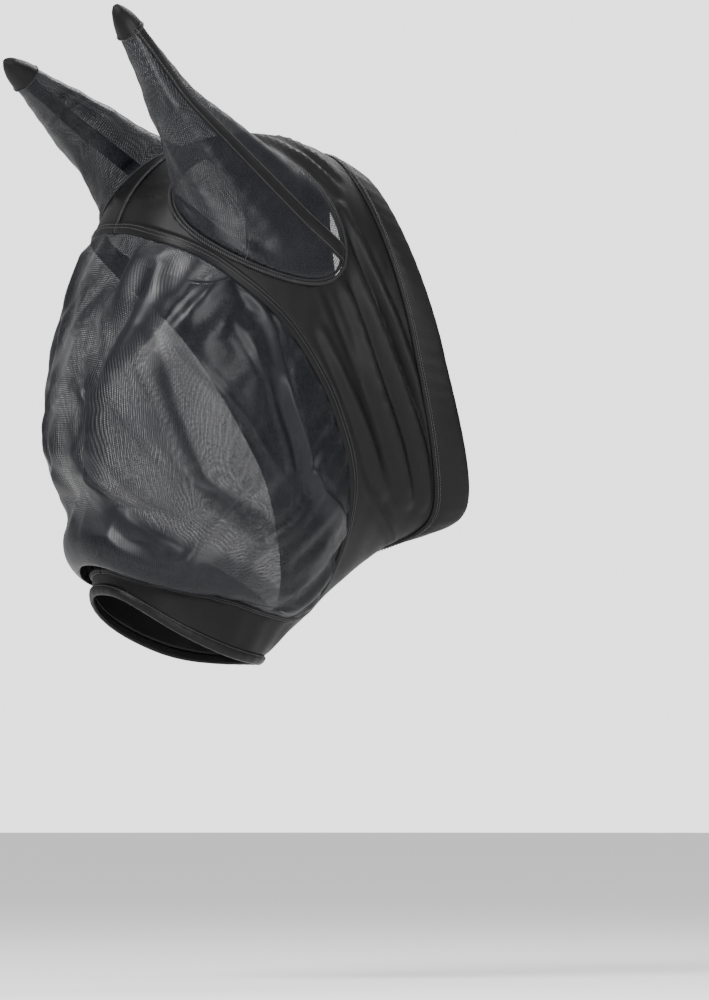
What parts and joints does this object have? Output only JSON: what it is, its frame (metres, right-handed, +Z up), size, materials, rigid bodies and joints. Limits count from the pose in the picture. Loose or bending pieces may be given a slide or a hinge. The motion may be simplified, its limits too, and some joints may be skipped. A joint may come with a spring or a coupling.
{
  "type": "fly mask",
  "caption": "Stretch fly mask with ears for a horse: a lycra hood over the poll and jaw, a pouched see-through mesh panel over the face, a nose band, and mesh ears with lycra tips.",
  "frame": {"origin": "The poll seat: the point on the middle plane where the crown of the hood rests on the top of the head, as worn.", "axes": "+Z up as worn, -Y towards the nose, +X to the horse's left."},
  "size_m": [0.2482, 0.43, 0.6221],
  "materials": {
    "lycra": "black stretch knit with a faint soft sheen",
    "mesh": "fine see-through charcoal mesh with a slight silky sheen",
    "thread": "black overlocked thread",
    "elastic": "flat black ribbed elastic"
  },
  "bodies": {
    "hood": {"hood_left": "lycra", "hood_right": "lycra", "nose_band": "lycra", "eye_hem_left": "lycra", "eye_hem_right": "lycra", "neck_hem": "lycra", "nose_hem": "lycra", "neck_elastic": "elastic", "nose_elastic": "elastic", "face_mesh": "mesh", "crown_seam": "thread", "jaw_seam": "thread", "ear_seam_left": "thread", "ear_seam_right": "thread", "ear_skirt_left": "mesh", "ear_skirt_right": "mesh", "ear_skirt_strip_left": "lycra", "ear_skirt_strip_right": "lycra"},
    "ear_left": {"ear_leaf_left": "mesh", "ear_leaf_strip_left": "lycra", "ear_tip_left": "lycra"},
    "ear_right": {"ear_leaf_right": "mesh", "ear_leaf_strip_right": "lycra", "ear_tip_right": "lycra"}
  },
  "joints": [
    {"name": "ear_left_swing", "type": "hinge", "parent": "hood", "child": "ear_left", "pos_m": [0.0879, -0.1738, 0.0342], "axis": [1, 0, 0], "range_deg": [-30, 20], "stiffness_Nm_per_rad": 0.05},
    {"name": "ear_right_swing", "type": "hinge", "parent": "hood", "child": "ear_right", "pos_m": [-0.0773, -0.1756, 0.0118], "axis": [1, 0, 0], "range_deg": [-35, 10], "stiffness_Nm_per_rad": 0.05}
  ]
}
